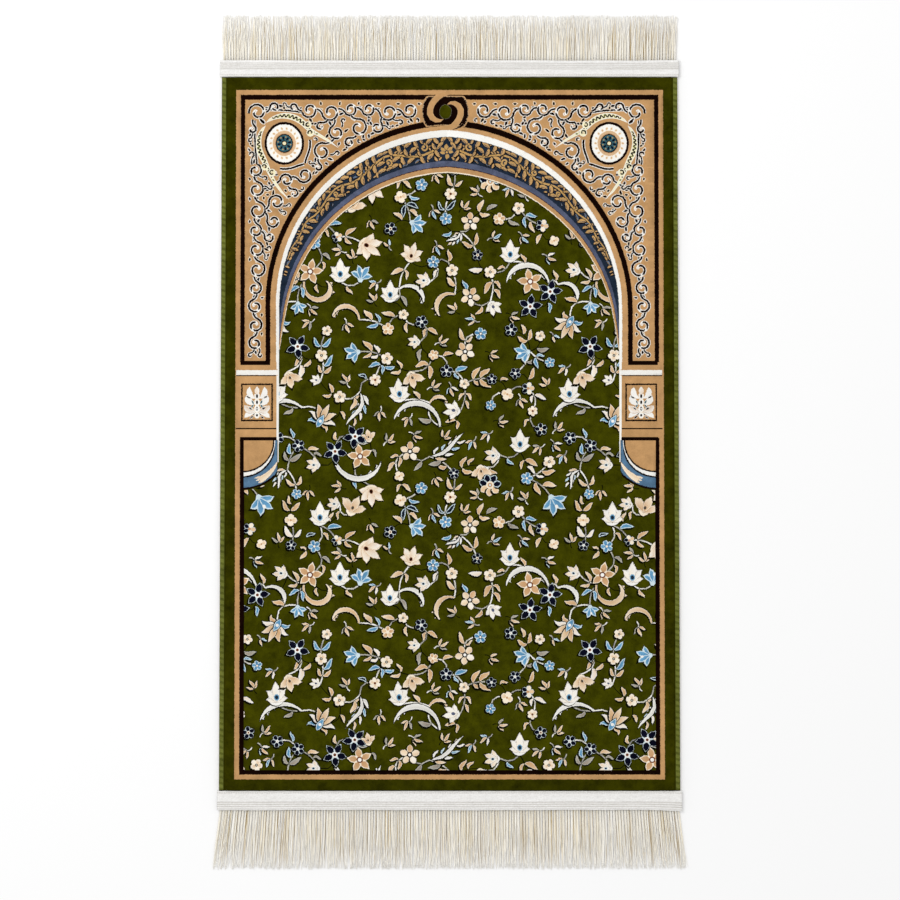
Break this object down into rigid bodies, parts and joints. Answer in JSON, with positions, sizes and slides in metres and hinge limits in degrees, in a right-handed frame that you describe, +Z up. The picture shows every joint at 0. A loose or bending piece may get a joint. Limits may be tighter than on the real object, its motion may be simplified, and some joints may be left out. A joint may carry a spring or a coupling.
{
  "type": "prayer rug",
  "caption": "Flat rectangular pile rug with overlocked long edges, a woven tape across each end and a cotton fringe under each tape; an arch design points to one end.",
  "frame": {"origin": "on the surface the rug lies on, under the centre of its whole outline, fringes included", "axes": "+X across the rug, +Y along it towards the arch end of the design, +Z up out of the pile"},
  "size_m": [0.7186, 1.3072, 0.0065],
  "materials": {
    "pile": "cut pile, green ground with a tan, black, white and blue woven design",
    "tape": "ribbed white woven tape",
    "fringe": "loosely twisted off-white cotton strands"
  },
  "bodies": {
    "root": {"rug_body": "pile", "heading_top": "tape", "heading_bottom": "tape", "fringe_top": "fringe", "fringe_bottom": "fringe"}
  },
  "joints": []
}
